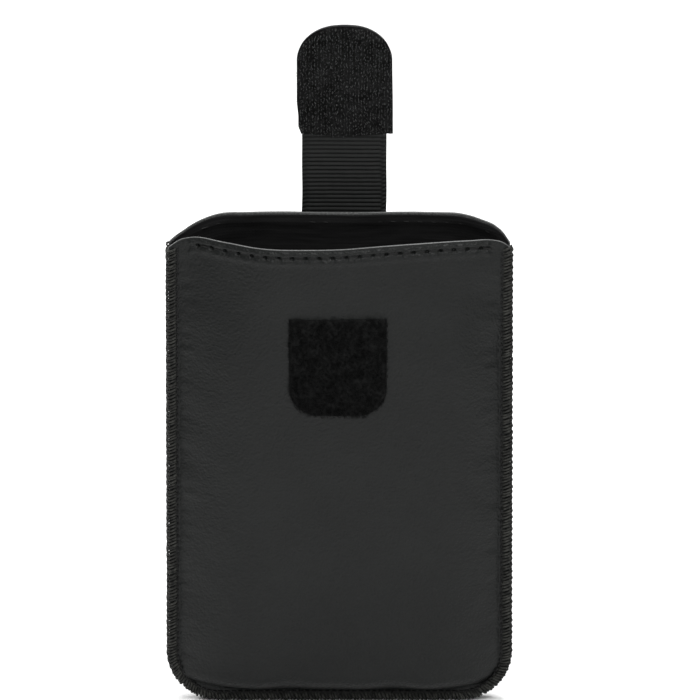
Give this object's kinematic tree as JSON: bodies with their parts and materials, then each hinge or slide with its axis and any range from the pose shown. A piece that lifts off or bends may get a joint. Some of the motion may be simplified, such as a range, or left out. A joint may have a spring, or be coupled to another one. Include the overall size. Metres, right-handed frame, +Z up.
{
  "type": "soft camera pouch",
  "caption": "Slim leather slip-in pouch with overlocked edges, fabric lining, open mouth and a ribbon strap that folds over to a hook-and-loop patch.",
  "frame": {"origin": "bottom centre of the whole object as it stands on its bottom seam", "axes": "+Z up out of the mouth, -Y towards the front with the loop patch, +X to the right seen from the front"},
  "size_m": [0.082, 0.0199, 0.1717],
  "materials": {
    "leather_body": "satin, fine even grain",
    "leather_tab": "satin, fine even grain",
    "lining_fabric": "matt woven lining",
    "overlock_thread": "matt textured thread",
    "sewing_thread": "waxed polyester thread",
    "grosgrain": "ribbed grosgrain ribbon",
    "loop_pile": "soft brushed loops",
    "hook_pile": "dense nylon hooks"
  },
  "bodies": {
    "pouch": {"front_leather_panel": "leather_body", "back_leather_panel": "leather_body", "front_lining": "lining_fabric", "back_lining": "lining_fabric", "edge_overlock": "overlock_thread", "overlock_needle_thread": "overlock_thread", "front_rim_stitching": "sewing_thread", "back_rim_stitching": "sewing_thread", "loop_patch": "loop_pile", "strap_anchor_ribbon": "grosgrain", "strap_anchor_stitching": "sewing_thread"},
    "strap_bridge": {"strap_bridge_ribbon": "grosgrain"},
    "strap_tab": {"strap_tab_ribbon": "grosgrain", "tab_leather_backing": "leather_tab", "hook_patch": "hook_pile", "tab_stitching": "sewing_thread"}
  },
  "joints": [
    {"name": "strap_fold", "type": "hinge", "parent": "pouch", "child": "strap_bridge", "pos_m": [0.0011, 0.00842, 0.1231], "axis": [1, 0, 0], "range_deg": [-90, 90]},
    {"name": "tab_fold", "type": "hinge", "parent": "strap_bridge", "child": "strap_tab", "pos_m": [0.0011, 0.00842, 0.14283], "axis": [1, 0, 0], "range_deg": [-90, 90]}
  ]
}
